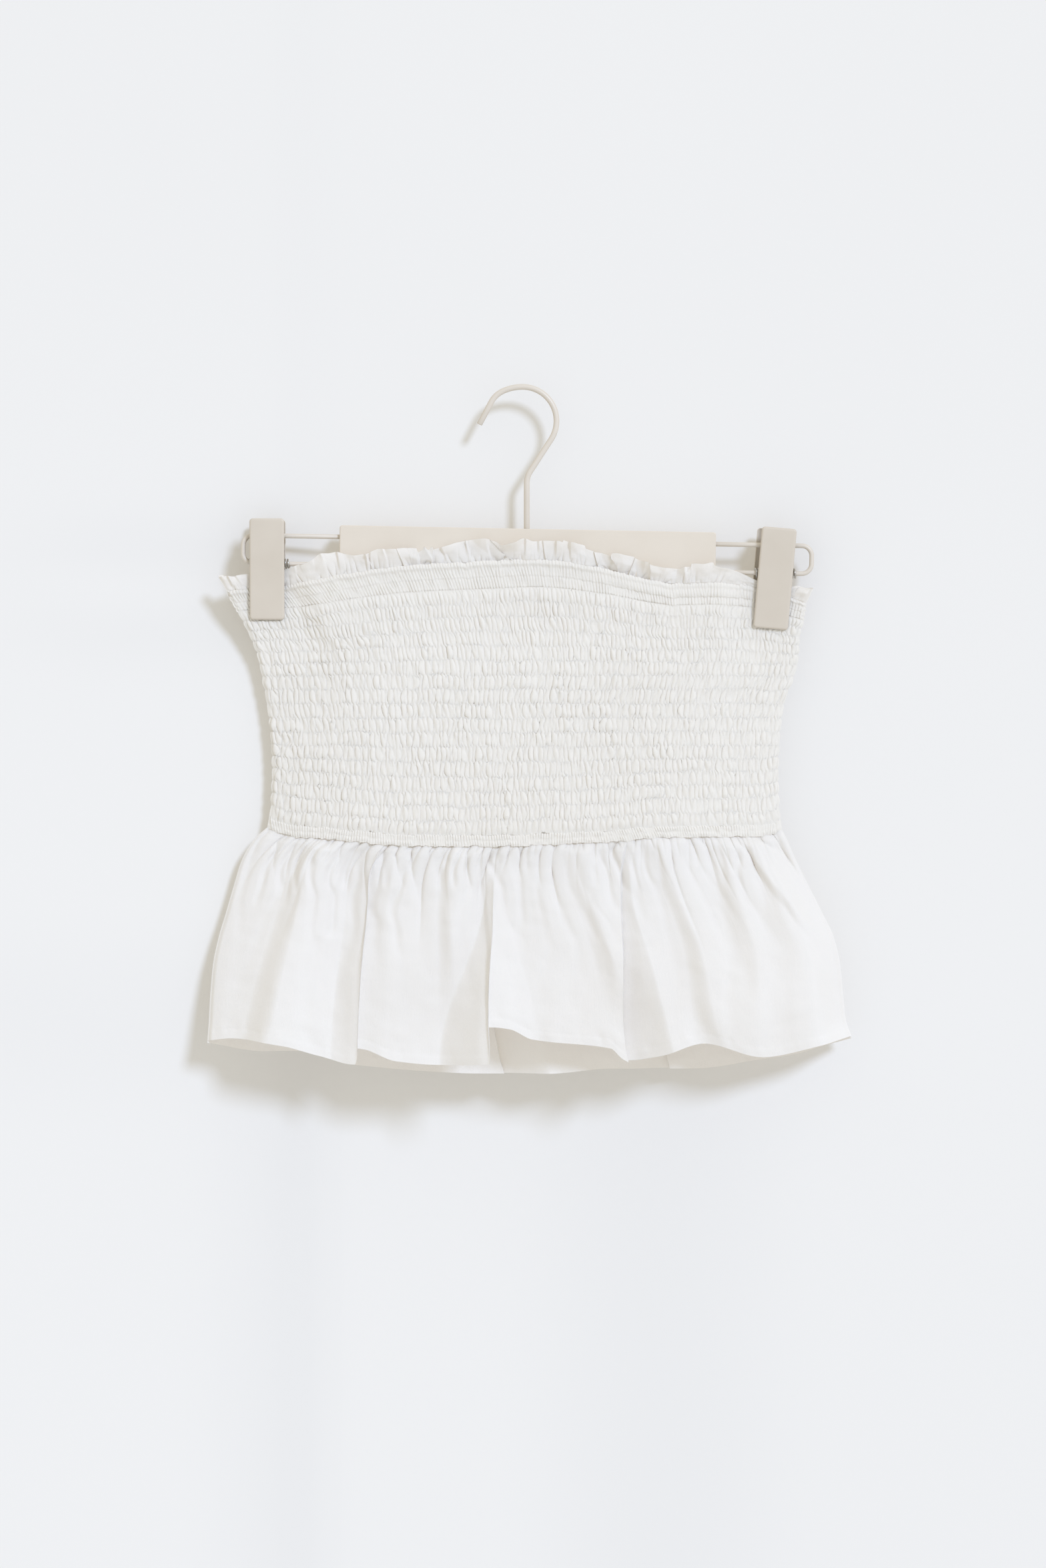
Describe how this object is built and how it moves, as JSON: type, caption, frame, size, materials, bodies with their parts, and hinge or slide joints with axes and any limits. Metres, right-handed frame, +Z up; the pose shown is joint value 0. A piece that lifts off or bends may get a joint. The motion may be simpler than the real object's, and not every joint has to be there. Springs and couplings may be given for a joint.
{
  "type": "smocked tube top on a clip hanger",
  "caption": "Off-white strapless top with a shirred bodice, gathered neck frill and flared peplum, clipped to a beige hanger with a board, wire rails and hook",
  "frame": {"origin": "the underside of the hook's crown, where a rail or peg carries the hanger", "axes": "+X to the viewer's right, +Y to the back of the garment, +Z up"},
  "size_m": [0.415, 0.0398, 0.4457],
  "materials": {
    "cotton": "plain off-white cotton, shirred",
    "hanger_paint": "satin beige",
    "board_paint": "matt beige",
    "clip_paint": "satin beige",
    "spring_steel": "bright spring wire"
  },
  "bodies": {
    "root": {"bodice_front": "cotton", "bodice_back": "cotton", "frill_front": "cotton", "frill_back": "cotton", "peplum_front": "cotton", "peplum_back": "cotton", "hanger_hook": "hanger_paint", "hanger_board": "board_paint", "hanger_rail_left": "hanger_paint", "hanger_rail_right": "hanger_paint", "clip_left_front": "clip_paint", "clip_left_back": "clip_paint", "clip_left_spring": "spring_steel", "clip_right_front": "clip_paint", "clip_right_back": "clip_paint", "clip_right_spring": "spring_steel"}
  },
  "joints": []
}
